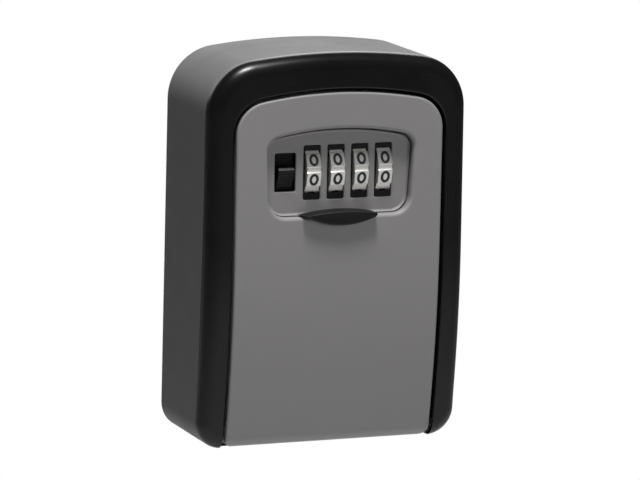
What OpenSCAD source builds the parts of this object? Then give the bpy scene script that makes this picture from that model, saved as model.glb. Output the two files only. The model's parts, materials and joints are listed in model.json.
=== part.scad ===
// Wall-mounted key lock box with a four-wheel combination lock.
// X runs to the right, +Y into the wall and +Z up, in millimetres. The origin is the
// centre of the wall-screw pattern on the back face, so the front of the box faces -Y.

/* [Box] */
// Height of the box
box_h = 121; // [119:0.5:123]
// Height of the arched top above the centre of the wall screws
box_top = 60; // [59:0.5:61]
// Width of the box at its shoulders
box_w = 82.8; // [82:0.2:86]
// Depth of the box from the wall to its upper front
box_d = 40; // [39:0.5:42]
// Extra width on each side at the foot
flare = 0.6; // [0:0.1:1.5]
// Radius of the two shoulders
shoulder_r = 16; // [12:0.5:17]
// Radius of the two lower corners
foot_r = 8.5; // [7:0.5:11]
// Radius of the arched top
top_arc_r = 205; // [150:5:400]
// Radius of the curve that takes the front back towards the foot
front_arc_r = 340; // [320:5:600]
// Height above the origin where that curve starts
front_arc_z = 2; // [-10:1:10]
// Wall of the cast housing
wall = 2.5; // [2:0.1:2.8]

/* [Bezel] */
// Depth at which the bezel meets the housing, at the shoulders
seam_d = 34.3; // [33.5:0.1:35]
// How far the seam falls back by the foot
seam_drop = 3.9; // [2:0.1:4.5]
// Height above the origin where the seam starts to fall back
seam_arc_z = 21; // [0:1:30]
// Radius of the rounded front edge
edge_r = 4.5; // [3:0.1:4.6]
// Wall of the moulded bezel
bezel_wall = 2.2; // [1.8:0.1:2.4]

/* [Door] */
// Width of the door
door_w = 66.6; // [66:0.2:67]
// Height of the door's top edge above the origin
door_top = 48.4; // [48:0.1:48.8]
// Gap between the door and the bezel
door_gap = 1; // [0.6:0.1:1.2]
// Radius of the door's upper corners
door_corner_r = 10; // [8:0.5:12]
// Wall of the moulded door cover
cover_wall = 1.6; // [1.2:0.1:1.8]

/* [Lock] */
// Height of the dial axle above the origin
axle_z = 24; // [23.8:0.1:24.1]
// Depth of the dial axle
axle_d = 29.3; // [29.2:0.1:29.6]
// Distance from the dial axle to a digit face
wheel_r = 9.6; // [9.4:0.1:9.7]
// Width of a dial wheel
wheel_w = 4.6; // [4.2:0.1:4.7]
// Distance between neighbouring dial wheels
wheel_pitch = 7.7; // [7.6:0.05:7.8]
// How far the release button and latch travel
latch_travel = 4.2; // [4:0.1:4.2]

/* [Wall screws] */
// Sideways distance between the wall-screw holes
screw_dx = 40; // [36:1:44]
// Upright distance between the wall-screw holes
screw_dz = 60; // [50:1:64]
// Radius of a wall-screw hole
screw_hole_r = 2.25; // [2:0.05:2.5]

/* [Hidden] */

$fn = 48;
far = 60;                                  // further than any face of the box
base_z = box_top - box_h;                  // underside of the box

// Hinge. The pin is the centre of the roll that ends the front at the foot.
roll_r = 4.7;                              // outer radius of the door's roll
pin_z = base_z + 0.3 + roll_r;
pin_y = roll_y(roll_r);
pin_r = 1.25;
pin_reach = 37.6;                          // half the pin's length
lug_r = 2.4;
knuckle_r = 2.9;
knuckle_x = [20, 31.3];

// Door
door_hw = door_w/2;
door_foot = pin_z - roll_r;
door_arc_r = 140;
door_foot_r = 2;
front_wall = 1.8;                          // the cover's front wall
flange_y = -30.5;                          // where the cover's side flange ends
frame_gap = 0.2;
frame_wall = 1.4;

// Recess in the door
recess_d = 3;
recess_x = 0.4;
recess_hw = [23.6, 22.9];                  // half widths above and below
recess_top = 37.3;
recess_foot = 10.7;
recess_arc_r = 96;
recess_r = [4.5, 5.5];                     // upper and lower corners
floor_y = -box_d + recess_d;               // face of the recess floor
floor_back = floor_y + cover_wall;
panel_gap = 0.35;                          // dark line between the cover and the panel
panel_lip = 0.8;                           // how far the panel's edge stands up
panel_back = floor_y + 1.4;

// Finger pull under the recess
pull_x = 0.4;
pull_z = 11.2;
pull_hw = 11.2;                            // half its length
pull_front = -box_d - 2;
pull_pins = [-2.6, 3.4];
pull_pin_z = 9.2;

// Lock case behind the recess
case_hw = 27;
case_z = [5, 46];
guide_z = [7, 40];                         // upright guides of the latch
case_wall = 1.6;
case_inset = 3.5;                          // the case keeps this far inside the door's edge
case_front = -36.5;
case_back = -17.6;
rib_front = floor_back + 0.2;              // the case's ribs start behind the recess floor
rib_back = -19.1;
case_screw = [[-24, 8.6], [24, 8.6], [-20, 40.8], [20, 40.8]];
case_screw_r = 1.25;
post_end = -33.5;                          // where the door frame's posts meet the case

// Dials
dials = [0:3];
axle_y = -axle_d;
axle_r = 1.5;
first_x = -8.0;                            // middle of the first dial's window
groove_w = 1.7;
groove_d = 0.4;
groove_tilt = 5;                           // the front groove stands this far above level
window_w = 5.4;
window_z = [15.5, 32.1];
cheek_x = [-11.9, 19.4];                   // left faces of the two cheeks
cheek_w = 1.1;
comb_z = axle_z - 10.7;                    // underside of the comb of leaf springs
comb_t = 0.4;
cam_w = 1.6;
cam_r = 3.2;
cam_flat = 2.6;                            // the gate: a flat this far behind the axle
finger_reach = 2.75;                       // fingers stop this far behind the axle

// Release button, latch and spring
button_x = -16.6;
button_window = [6.7, 18.2, 30.0];         // width, lower edge, upper edge
button_plate = [8.4, 13.4, 30.6];
button_y = floor_back + 0.3;
ledge_z = 25.6;                              // top of the raised thumb ledge
ledge_y = -38.4;
button_grip = 5.1;                         // width of the thumb piece
grip_z = 18.7;                             // its lower end
arm_z = [15, 21];
arm_w = 4.4;
latch_y = [-18.9, -17.9];
latch_x = [-20, 19.9];
latch_z = [13.5, 33];
tongue_w = 10;
tongue_top = 47.4;
button_screw_z = 18;
spring_y = -27;
spring_z = [8.2, 15];
spring_r = 2;
spring_wire = 0.5;
spring_turns = 6;
spring_steps = 14;                         // rings in one turn
spring_sides = 8;

// Keeper
keeper_z = 49;
keeper_y = [-24.5, -12];
keeper_t = 1.2;
keeper_slot = [12, -19.9, -16.9];          // width, front edge, back edge
keeper_screw_x = 9;
keeper_screw_z = 53.4;

// Screws that hold the bezel, driven from the back through tubes in the housing
tube_x = 36.3;
tube_z = [40, -44];
tube_r = 3;
tube_front = -30;
tube_step = -27;                           // where the screw head seats

// Code-change lever
lever_x = 23.5;
lever_r = 1.6;
lever_l = 11.8;

// ---- outlines ----

function arc(cx, cy, r, a0, a1, n) =
    [for (i = [0:n]) let (a = a0 + (a1 - a0)*i/n) [cx + r*cos(a), cy + r*sin(a)]];

// An arched outline: half widths at the shoulder and foot, top, arch radius, shoulder
// radius, foot height, foot radius, all drawn g inside the edge.
function arched(hs, hf, top, ra, rs, foot, rf, g) =
    let (ac = top - ra, sx = hs - rs, sz = ac + sqrt(pow(ra - rs, 2) - sx*sx),
         fx = hf - rf, fz = foot + rf, b = atan2(sz - ac, sx), arch = arc(0, ac, ra - g, b, 180 - b, 16))
    concat(arc(fx, fz, rf - g, -90, 0, 12), arc(sx, sz, rs - g, 0, b, 14),
           [for (i = [1:15]) arch[i]],
           arc(-sx, sz, rs - g, 180 - b, 180, 14), arc(-fx, fz, rf - g, 180, 270, 12));

function roll_y(r) =
    front_arc_r - box_d - sqrt(pow(front_arc_r - r, 2) - pow(front_arc_z - pin_z, 2));
function seam_y(z) =
    let (drop = seam_arc_z - base_z, r = (drop*drop + seam_drop*seam_drop)/(2*seam_drop),
         h = max(0, seam_arc_z - z)) -seam_d + r - sqrt(r*r - h*h);

// Side view of everything behind the front, drawn g inside it, ending in a roll of radius r.
function front_side(g, r) =
    let (a = atan2(pin_z - front_arc_z, roll_y(r) - front_arc_r + box_d) + 360)
    concat([[far, far], [-box_d + g, far]],
           arc(front_arc_r - box_d, front_arc_z, front_arc_r - g, 180, a, 16),
           arc(roll_y(r), pin_z, r - g, a + 8, 270, 10), [[far, pin_z - r + g]]);
// The same with no roll, for the bezel.
function plain_side(g) =
    concat([[far, far], [-box_d + g, far]],
           arc(front_arc_r - box_d, front_arc_z, front_arc_r - g, 180, 192, 18), [[far, -far - 8]]);

module box_outline(g = 0)
    polygon(arched(box_w/2, box_w/2 + flare, box_top, top_arc_r, shoulder_r, base_z, foot_r, g));
module door_outline(g = 0)
    polygon(arched(door_hw, door_hw, door_top, door_arc_r, door_corner_r, door_foot, door_foot_r, g));
module recess_outline(g = 0)
    translate([recess_x, 0]) polygon(arched(recess_hw[0], recess_hw[1], recess_top, recess_arc_r,
                                            recess_r[0], recess_foot, recess_r[1], g));
// The opening in the bezel, grown by g, runs out past the foot.
module opening_outline(g = 0) {
    door_outline(-door_gap - g);
    translate([-door_hw - door_gap - g, -far - 10]) square([door_w + 2*(door_gap + g), far + 10]);
}

// ---- solids from outlines ----

// Extrudes a front-view outline from y0, in front, to y1, behind.
module slab(y0, y1) translate([0, y1, 0]) rotate([90, 0, 0]) linear_extrude(y1 - y0) children();
// Extrudes a side-view outline across the box.
module across(w = 2*far) translate([-w/2, 0, 0]) rotate([90, 0, 90]) linear_extrude(w) children();
module behind_front(g, r) across() polygon(front_side(g, r));
module behind_bezel(g) across() polygon(plain_side(g));
module behind_seam()
    across() polygon(concat([[far, far], [seam_y(far), far]],
                            [for (i = [0:10]) let (z = seam_arc_z - 8.5*i) [seam_y(z), z]],
                            [[far, -far - 4]]));
// A rod along Y and a rod along X.
module rod_y(r, y0, y1) translate([0, y1, 0]) rotate([90, 0, 0]) cylinder(r = r, h = y1 - y0);
module rod_x(r, x0, x1) translate([x0, 0, 0]) rotate([0, 90, 0]) cylinder(r = r, h = x1 - x0);
module block(x, y, z) translate([x[0], y[0], z[0]]) cube([x[1] - x[0], y[1] - y[0], z[1] - z[0]]);
module at_pin() translate([0, pin_y, pin_z]) children();
module at_axle() translate([0, axle_y, axle_z]) children();
module both_sides() { children(); mirror([1, 0, 0]) children(); }
module at_tubes() for (z = tube_z) both_sides() translate([tube_x, 0, z]) children();
module at_case_screws() for (p = case_screw) translate([p[0], 0, p[1]]) children();
// A pan-head screw along Y, with its head towards the wall.
module pan_screw(r, seat, tip, head_r, head_h) difference() {
    union() {
        rod_y(r, tip, seat);
        rod_y(head_r, seat, seat + head_h);
    }
    for (a = [0, 90]) rotate([0, a, 0])
        block([-head_r*0.6, head_r*0.6], [seat + head_h*0.4, seat + 2*head_h], [-0.25, 0.25]);
}

// ---- body of the box ----

// Cast tray with a back wall, side walls, screw tubes, hinge lugs and a block for the keeper.
module back_housing() color("#3c3c3e") difference() {
    union() {
        difference() {
            intersection() {
                slab(-box_d, 0) box_outline();
                behind_seam();
            }
            slab(-box_d - 1, -wall) box_outline(wall);
            // the foot is open in front, where the door rolls
            at_pin() rod_x(roll_r + 0.6, -door_hw - 0.8, door_hw + 0.8);
            block([-door_hw - 0.8, door_hw + 0.8], [-far, pin_y], [-far - 5, pin_z]);
        }
        at_tubes() rod_y(tube_r, tube_front, -wall + 0.1);
        intersection() {
            slab(-box_d, -wall) box_outline(0.6);
            union() {
                block([-13, 13], [keeper_y[1], -wall + 0.1], [keeper_z + 0.6, 58.5]);
                both_sides() {
                    at_pin() rod_x(lug_r, door_hw + 1.3, 38.4);
                    block([door_hw + 1.3, 38.4], [pin_y, -22], [pin_z - lug_r, pin_z + lug_r]);
                }
            }
        }
    }
    at_pin() rod_x(pin_r + 0.02, -pin_reach - 0.1, pin_reach + 0.1);
    at_tubes() {
        rod_y(2.25, tube_step, 1);
        rod_y(1.35, tube_front - 1, tube_step + 1);
    }
    for (x = [-keeper_screw_x, keeper_screw_x])
        translate([x, 0, keeper_screw_z]) rod_y(1.02, keeper_y[1] - 1, -5.4);
    for (x = [-screw_dx/2, screw_dx/2], z = [-screw_dz/2, screw_dz/2])
        translate([x, 0, z]) rod_y(screw_hole_r, -wall - 1, 1);
}

// Black frame round the door, open at the foot, with a rounded front edge.
module front_bezel() color("#161617") difference() {
    union() {
        difference() {
            intersection() {
                hull() for (a = [0:22.5:90]) intersection() {
                    slab(-box_d, -20) box_outline(edge_r*(1 - cos(a)));
                    behind_bezel(edge_r*(1 - sin(a)));
                }
                difference() {
                    block([-far, far], [-far, 0], [-far - 5, far + 5]);
                    behind_seam();
                }
            }
            difference() {
                intersection() {
                    slab(-box_d, 0) box_outline(bezel_wall);
                    behind_bezel(bezel_wall);
                }
                slab(-box_d, -31) opening_outline(1.5);
            }
        }
        intersection() {
            at_tubes() rod_y(2.7, -box_d, tube_front - 0.05);
            slab(-box_d, 0) box_outline(1);
            behind_bezel(1);
        }
    }
    slab(-box_d - 1, 1) opening_outline();
    at_tubes() rod_y(1.22, -36, tube_front + 1);
    both_sides() {
        at_pin() rod_x(lug_r + 0.3, door_hw + 0.9, 38.8);
        block([door_hw + 0.9, 38.8], [pin_y, 0], [pin_z - lug_r - 0.3, pin_z + lug_r + 0.3]);
    }
}

// Four screws that pull the bezel on to the housing.
module bezel_screws() color("#a9abad")
    at_tubes() pan_screw(1.2, tube_step, -35.6, 2.1, 1.8);

// Steel strike with a slot that the latch tongue rises into.
module keeper_plate() color("#b9bbbd") difference() {
    union() {
        block([-9.5, 9.5], keeper_y, [keeper_z, keeper_z + keeper_t]);
        block([-12.5, 12.5], [keeper_y[1] - keeper_t, keeper_y[1]], [keeper_z, 56.4]);
    }
    block([-keeper_slot[0]/2, keeper_slot[0]/2], [keeper_slot[1], keeper_slot[2]],
          [keeper_z - 1, keeper_z + 3]);
    for (x = [-keeper_screw_x, keeper_screw_x])
        translate([x, 0, keeper_screw_z]) rod_y(1.3, keeper_y[1] - 3, keeper_y[1] + 1);
}

module keeper_screws() color("#a9abad")
    for (x = [-keeper_screw_x, keeper_screw_x])
        translate([x, keeper_y[1] - keeper_t, keeper_screw_z]) mirror([0, 1, 0])
            pan_screw(1, 0, -6.5, 1.9, 1.3);

module hinge_pin() color("#c4c6c8") at_pin() rod_x(pin_r, -pin_reach, pin_reach);

// ---- door ----

module door_shape(g, front_g) {
    intersection() {
        slab(-box_d, flange_y + g) door_outline(g);
        behind_front(front_g, roll_r);
    }
    // the roll runs on past the foot, round the hinge pin
    intersection() {
        at_pin() rod_x(roll_r - g, -door_hw + g, door_hw - g);
        block([-far, far], [-far, pin_y + 3.3 + g], [-far - 5, pin_z]);
        slab(-far, 0) door_outline(g);
    }
}

// Grey moulded cover with an opening whose rim is sunk to meet the dial panel.
module door_cover() color("#7c7a7b") difference() {
    union() {
        difference() {
            door_shape(0, 0);
            intersection() {
                slab(-box_d, 0) door_outline(cover_wall);
                union() {
                    behind_front(front_wall, roll_r);
                    at_pin() rod_x(roll_r - cover_wall, -door_hw, door_hw);
                }
            }
        }
        slab(-box_d + 0.5, floor_y + panel_lip) recess_outline(-cover_wall);
    }
    slab(-box_d - 1, 0) recess_outline();
    for (x = pull_pins) translate([x, 0, pull_pin_z]) rod_y(0.95, -box_d - 1, 0);
    at_pin() rod_x(1.9, -door_hw - 1, door_hw + 1);
}

// Sunk panel with a raised edge, windows for the dials and a slot for the button.
module dial_panel() color("#6e6c6d") difference() {
    union() {
        slab(floor_y - panel_lip, panel_back) recess_outline(panel_gap);
        slab(floor_y + panel_lip + 0.05, panel_back) recess_outline(-cover_wall);
    }
    slab(-box_d, floor_y) recess_outline(panel_gap + 0.7);
    for (i = dials) block([dial_x(i) - window_w/2, dial_x(i) + window_w/2], [-box_d, 0], window_z);
    block([button_x - button_window[0]/2, button_x + button_window[0]/2], [-box_d, 0],
          [button_window[1], button_window[2]]);
}

// Cast inner frame: a curved plate, a rim, posts for the lock case and hinge knuckles.
module door_frame() color("#5d5e60") difference() {
    union() {
        difference() {
            frame_blank(cover_wall + frame_gap, front_wall + 0.1);
            intersection() {
                slab(-box_d, 0) door_outline(cover_wall + frame_gap + frame_wall);
                behind_front(front_wall + 0.1 + frame_wall, roll_r);
                block([-far, far], [-far, 0], [pin_z + 1, far]);
            }
        }
        at_case_screws() rod_y(2.6, -37.4, post_end);
        both_sides() at_pin() rod_x(knuckle_r, knuckle_x[0], knuckle_x[1]);
        // web that carries the knuckles up to the plate
        both_sides() block(knuckle_x, [pin_y - knuckle_r + 0.2, pin_y + 1.5], [pin_z, pin_z + 5]);
    }
    // open behind the sunk panel
    slab(-far, 0) recess_outline(-cover_wall - 0.3);
    at_pin() rod_x(pin_r + 0.05, -door_hw, door_hw);
    at_case_screws() rod_y(case_screw_r + 0.02, -far, 0);
}

module frame_blank(g, front_g) intersection() {
    slab(-box_d, flange_y - 0.5) door_outline(g);
    behind_front(front_g, roll_r);
    block([-far, far], [-far, 0], [pin_z, far]);
}

// Black lens-shaped lip that a fingertip hooks to swing the door down.
module lens(up, down) {
    ru = (pull_hw*pull_hw + up*up)/(2*up);
    rd = (pull_hw*pull_hw + down*down)/(2*down);
    a = asin(pull_hw/ru);
    b = asin(pull_hw/rd);
    translate([pull_x, pull_z]) polygon(concat(arc(0, up - ru, ru, 90 - a, 90 + a, 12),
        [for (p = arc(0, rd - down, rd, 270 - b, 270 + b, 14)) if (abs(p[0]) < pull_hw - 0.1) p]));
}
module thumb_pull() color("#1b1b1c") {
    difference() {
        slab(pull_front, floor_y - panel_lip - 0.05) lens(1.1, 3.2);
        block([-far, far], [-box_d - 0.05, 0], [-far, recess_foot + 0.05]);
    }
    for (x = pull_pins) translate([x, 0, pull_pin_z]) rod_y(0.9, pull_front + 0.5, -box_d + front_wall);
}

// ---- lock case in the door ----

function dial_x(i) = first_x + wheel_pitch*i;
function wheel_x(i) = dial_x(i) + 0.1 - wheel_w/2;

module case_outline(g = 0) intersection() {
    translate([g - case_hw, case_z[0] + g]) square([2*(case_hw - g), case_z[1] - case_z[0] - 2*g]);
    door_outline(case_inset + g);
}

// Moulded case that carries the axle between two cheeks and guides the latch.
module lock_frame() color("#242426") difference() {
    union() {
        difference() {
            slab(case_front, case_back) case_outline();
            slab(-far, 0) case_outline(case_wall);
        }
        for (x = cheek_x) block([x, x + cheek_w], [rib_front, rib_back], [case_z[0] + 0.5, case_z[1] - 2]);
        // guides beside the button's channel and behind the right cheek
        block([-22.2, -21], [rib_front, case_back], guide_z);
        block([20.2, 21.4], [rib_back - 1.6, case_back], guide_z);
        intersection() {
            at_case_screws() rod_y(2.7, post_end, case_back);
            slab(-far, 0) case_outline();
        }
        // ledge under the detent spring
        block([cheek_x[0], cheek_x[1] + cheek_w], [-24.5, rib_back], [comb_z - 1.2, comb_z]);
        for (x = [-4.2, 11.2]) translate([x, -22.6, comb_z - 0.6]) cylinder(r = 0.9, h = 1.6);
        // seat and post for the latch spring
        translate([button_x, spring_y, case_z[0] + 0.5]) {
            cylinder(r = 2.9, h = spring_z[0] - case_z[0] - 0.5);
            cylinder(r = 1.2, h = 7);
        }
    }
    at_case_screws() {
        rod_y(case_screw_r + 0.1, -far, 0);
        rod_y(2.8, -far, post_end);
    }
    block([-tongue_w/2 - 0.4, tongue_w/2 + 0.4], [rib_back, 0], [40, far]);
    slab(-far, rib_front) recess_outline(-cover_wall - 0.3);
    at_axle() rod_x(axle_r + 0.02, -far, far);
}

module dial_axle() color("#c9cbcd") at_axle() difference() {
    rod_x(axle_r, -13, 21.9);
    for (x = [-12.7, 20.9]) difference() {
        rod_x(axle_r + 1, x, x + 0.7);
        rod_x(1.2, x - 1, x + 2);
    }
}

// Spring clips that keep the axle between its cheeks.
module axle_clips() color("#8f9194") at_axle() for (x = [-12.6, 21]) difference() {
    rod_x(2.8, x, x + 0.5);
    rod_x(1.22, x - 1, x + 1);
    block([x - 1, x + 1], [-0.9, 0.9], [-5, 0]);
}

// Washers that keep each wheel clear of the cam of the one before.
module axle_spacers() color("#d8d4c4") at_axle() for (i = [0:2]) difference() {
    rod_x(2.6, wheel_x(i) + wheel_w + cam_w + 0.15, wheel_x(i + 1) - 0.15);
    rod_x(axle_r + 0.05, -far, far);
}

// Comb of leaf springs that lie under the wheels.
module detent_spring() color("#b4a36c") difference() {
    union() {
        block([cheek_x[0] + 1.3, cheek_x[1] - 0.2], [-24.5, -20.6], [comb_z, comb_z + comb_t]);
        for (i = dials)
            block([wheel_x(i) + 0.7, wheel_x(i) + wheel_w - 0.7], [-33, -24.4], [comb_z, comb_z + comb_t]);
    }
    for (x = [-4.2, 11.2]) translate([x, -22.6, comb_z - 0.6]) cylinder(r = 0.95, h = 3);
}

// Plate that closes the lock case inside the box.
module back_plate() color("#2b2b2d") difference() {
    slab(case_back, case_back + 1.2) case_outline();
    at_case_screws() rod_y(case_screw_r + 0.1, -far, 0);
    translate([lever_x, 0, axle_z]) rod_y(lever_r + 0.05, -far, 0);
    // slot for the head of the button's screw
    hull() for (z = [button_screw_z, button_screw_z + latch_travel])
        translate([button_x, 0, z]) rod_y(2.3, -far, 0, $fn = 24);
}

module back_plate_screws() color("#a9abad")
    at_case_screws() pan_screw(case_screw_r, case_back + 1.2, -37.3, 2.3, 1.4);

// Coil spring that lifts the latch, drawn compressed.
function spring_ring(k) =
    let (a = 360*k/spring_steps, n = spring_steps*spring_turns,
         z = spring_z[0] + 0.05 + spring_wire/2 + (spring_z[1] - spring_z[0] - spring_wire - 0.1)*k/n)
    [for (j = [0:spring_sides - 1]) let (b = 360*j/spring_sides, r = spring_r + spring_wire/2*cos(b))
        [button_x + r*cos(a), spring_y + r*sin(a), z + spring_wire/2*sin(b)]];
module latch_spring() color("#c0c2c4") {
    n = spring_steps*spring_turns;
    s = spring_sides;
    polyhedron([for (k = [0:n]) each spring_ring(k)],
        concat([[for (j = [0:s - 1]) j], [for (j = [s - 1:-1:0]) n*s + j]],
               [for (k = [0:n - 1], j = [0:s - 1]) let (p = k*s, q = (j + 1)%s)
                   [p + j, p + s + j, p + s + q, p + q]]));
}

// ---- release slide ----

// Ribbed thumb button with a raised ledge, on an arm that reaches the latch plate.
module release_button() color("#141415") difference() {
    union() {
        block([button_x - button_plate[0]/2, button_x + button_plate[0]/2],
              [button_y, button_y + 1.4], [button_plate[1], button_plate[2]]);
        // ribs above the ledge
        for (i = [0:4]) block([button_x - button_grip/2, button_x + button_grip/2],
            [button_y - 0.2, button_y + 0.2], [ledge_z + 0.5 + 0.8*i, ledge_z + 0.9 + 0.8*i]);
        // thumb piece, deepest at the ledge
        translate([button_x, 0, 0]) across(button_grip) polygon([[button_y + 0.1, ledge_z],
            [ledge_y, ledge_z], [ledge_y, ledge_z - 1.2], [button_y - 0.6, grip_z],
            [button_y + 0.1, grip_z]]);
        block([button_x - arm_w/2, button_x + arm_w/2], [button_y + 1, latch_y[0]], arm_z);
    }
    translate([button_x, 0, button_screw_z]) rod_y(1.02, -26, 0);
}

// Steel plate with the latch tongue.
module latch_plate() color("#b9bbbd") difference() {
    union() {
        block(latch_x, latch_y, latch_z);
        block([-tongue_w/2, tongue_w/2], latch_y, [latch_z[1] - 1, tongue_top]);
    }
    at_gates() block([-0.62, 0.62], [-far, 0], [-0.42, 0.42]);
    translate([button_x, 0, button_screw_z]) rod_y(1.1, -far, 0);
}

module at_gates()
    for (i = dials) translate([wheel_x(i) + wheel_w + cam_w/2, 0, axle_z - latch_travel/2]) children();

// Fingers pressed into the latch plate, which cross the gates of the code cams.
module gate_fingers() color("#b9bbbd")
    at_gates() block([-0.6, 0.6], [axle_y + finger_reach, latch_y[1]], [-0.4, 0.4]);

module button_screw() color("#a9abad") translate([button_x, 0, button_screw_z])
    pan_screw(1, latch_y[1], -25.5, 1.9, 1.1);

// ---- dials and code change ----

// Ten-sided wheel with a finger groove between one digit face and the next.
module dial_wheel(i) color("#b8b8b6") translate([wheel_x(i), axle_y, axle_z])
    rotate([groove_tilt, 0, 0]) difference() {
        rotate([0, 90, 0]) cylinder(r = wheel_r/cos(18), h = wheel_w, $fn = 10);
        for (k = [0:9]) rotate([36*k, 0, 0])
            block([-1, wheel_w + 1], [-wheel_r - 2, groove_d - wheel_r], [-groove_w/2, groove_w/2]);
        rod_x(axle_r + 0.05, -1, wheel_w + 1);
        // lightening pocket in the left face
        difference() {
            rod_x(wheel_r - 2.2, -1, 1);
            rod_x(3.4, -2, 2);
        }
    }

// Cam fixed to a wheel's right side; its flat is the gate that lets the latch pass.
module code_cam(i) color("#b08d3e") translate([wheel_x(i) + wheel_w, axle_y, axle_z])
    difference() {
        rod_x(cam_r, 0, cam_w);
        rod_x(axle_r + 0.05, -1, cam_w + 1);
        block([-1, cam_w + 1], [cam_flat, cam_r + 1], [-cam_r - 1, cam_r + 1]);
    }

// Lever on the back plate that is turned to set a new code.
module code_lever() color("#191919") translate([lever_x, 0, axle_z]) {
    rod_y(lever_r, -21, case_back + 1.4);
    rod_y(3.2, case_back + 1.3, case_back + 3.1);
    block([-2, 2], [case_back + 1.3, case_back + 3.1], [-lever_l, 0]);
    block([-2, 2], [case_back + 1.4, case_back + 4.8], [-lever_l, 1.4 - lever_l]);
}

back_housing();
front_bezel();
bezel_screws();
keeper_plate();
keeper_screws();
hinge_pin();
door_cover();
dial_panel();
door_frame();
thumb_pull();
lock_frame();
dial_axle();
axle_clips();
axle_spacers();
detent_spring();
back_plate();
back_plate_screws();
latch_spring();
release_button();
latch_plate();
gate_fingers();
button_screw();
dial_wheel(0);  // dial_wheel_1
dial_wheel(1);  // dial_wheel_2
dial_wheel(2);  // dial_wheel_3
dial_wheel(3);  // dial_wheel_4
code_cam(0);  // code_cam_1
code_cam(1);  // code_cam_2
code_cam(2);  // code_cam_3
code_cam(3);  // code_cam_4
code_lever();
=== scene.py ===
"""Looks of a wall-mounted key lock box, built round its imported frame."""
import json
import math

import bmesh
import bpy
from mathutils import Matrix, Vector


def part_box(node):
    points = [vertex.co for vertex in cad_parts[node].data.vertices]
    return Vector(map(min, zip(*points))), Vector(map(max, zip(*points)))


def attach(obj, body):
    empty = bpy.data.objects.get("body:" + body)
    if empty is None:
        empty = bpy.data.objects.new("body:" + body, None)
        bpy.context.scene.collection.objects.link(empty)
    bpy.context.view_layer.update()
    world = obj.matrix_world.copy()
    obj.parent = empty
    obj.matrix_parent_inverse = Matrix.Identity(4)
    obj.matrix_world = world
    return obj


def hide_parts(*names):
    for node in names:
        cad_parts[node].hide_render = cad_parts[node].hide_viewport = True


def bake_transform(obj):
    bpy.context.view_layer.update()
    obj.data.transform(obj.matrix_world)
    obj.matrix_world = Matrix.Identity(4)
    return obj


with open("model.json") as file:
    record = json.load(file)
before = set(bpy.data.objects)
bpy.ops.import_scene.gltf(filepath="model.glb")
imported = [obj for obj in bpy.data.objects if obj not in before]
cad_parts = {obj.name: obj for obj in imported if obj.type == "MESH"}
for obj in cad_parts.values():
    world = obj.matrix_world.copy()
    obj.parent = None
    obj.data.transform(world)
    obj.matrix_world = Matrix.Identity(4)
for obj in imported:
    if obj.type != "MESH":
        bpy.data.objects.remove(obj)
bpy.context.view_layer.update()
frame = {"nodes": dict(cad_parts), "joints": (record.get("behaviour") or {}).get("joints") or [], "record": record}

MM = 0.001


# ---- sizes, in millimetres, from the frame where it has them ----

def mm_box(node):
    low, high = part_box(node)
    return low / MM, high / MM


def joint(name):
    return next(j for j in frame["joints"] if j["name"] == name)


HOUSING = mm_box("back_housing")
BEZEL = mm_box("front_bezel")
COVER = mm_box("door_cover")
PANEL = mm_box("dial_panel")
PULL = mm_box("thumb_pull")
BUTTON = mm_box("release_button")
SPRING = mm_box("latch_spring")
WHEELS = [mm_box(f"dial_wheel_{i}") for i in range(1, 5)]
PIN_Y, PIN_Z = [v / MM for v in joint("door_hinge")["pos_m"][1:]]
AXLE_Y, AXLE_Z = [v / MM for v in joint("dial_1_turn")["pos_m"][1:]]

FRONT = round(BEZEL[0].y, 3)                 # the flat upper front
BASE = HOUSING[0].z
TOP = HOUSING[1].z
FOOT_HALF = HOUSING[1].x                     # half width at the foot
HALF = FOOT_HALF - 0.6                       # half width at the shoulders
FRONT_R = 340                                # the front falls back on this arc below FRONT_Z
FRONT_Z = 2
FRONT_C = FRONT + FRONT_R
SEAM = -34.3                                 # where bezel and housing meet
SEAM_Z = 21
SEAM_DROP = 3.9
SEAM_R = ((SEAM_Z - BASE) ** 2 + SEAM_DROP ** 2) / (2 * SEAM_DROP)
SHOULDER_R = 16
TOP_ARCH = 205                               # radius of the arched top
FOOT_R = 8.5
EDGE = 4.5                                   # rounded front edge of the bezel
DOOR = COVER[1].x                            # half width of the door
DOOR_TOP = COVER[1].z
DOOR_ARCH = 140
DOOR_CORNER = 10
GAP = 1.0                                    # between door and bezel
ROLL = 4.7                                   # the foot of the door rolls round its pin
PIN_HOLE = 1.9                               # radius of the door's end that rides round the pin
FLANGE = -30.5                               # back edge of the door cover
FLAT_STATIONS = 6                            # stations on the flat upper front of the door
RECESS_X = 0.4                               # middle of the recess
RECESS = (23.6, 22.9, 37.3, 96, 4.5, 10.7, 5.5)   # as arched_loop takes them
PANEL_SHIFT = (-0.25, -0.18)                 # the panel lies a little off the middle of the recess
FLOOR = -37.0                                # face of the dial panel
PANEL_LIP = 0.8
PULL_BACK = FLOOR - PANEL_LIP - 0.05
PULL_Z = 11.2
FACE_R = 9.6                                 # from the axle to the flat faces of a dial
GROOVE_R = 9.32                              # from the axle to the floors of its grooves
GROOVE_TILT = 5.0
DIAL_WINDOW = (2.7, 15.5, 32.1)              # half width, foot and head
BUTTON_WINDOW = (3.35, 18.2, 30.0)
WINDOW_EDGE = 0.34                           # rounded edge of each window


# ---- outlines ----

def arc(cx, cz, r, a0, a1, n):
    angles = [math.radians(a0 + (a1 - a0) * i / n) for i in range(n + 1)]
    return [(cx + r * math.cos(a), cz + r * math.sin(a)) for a in angles]


def mirrored(right):
    """The whole of an outline from its right half, which ends on the middle line."""
    return right + [(-x, z) for x, z in reversed(right[:-1])]


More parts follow.
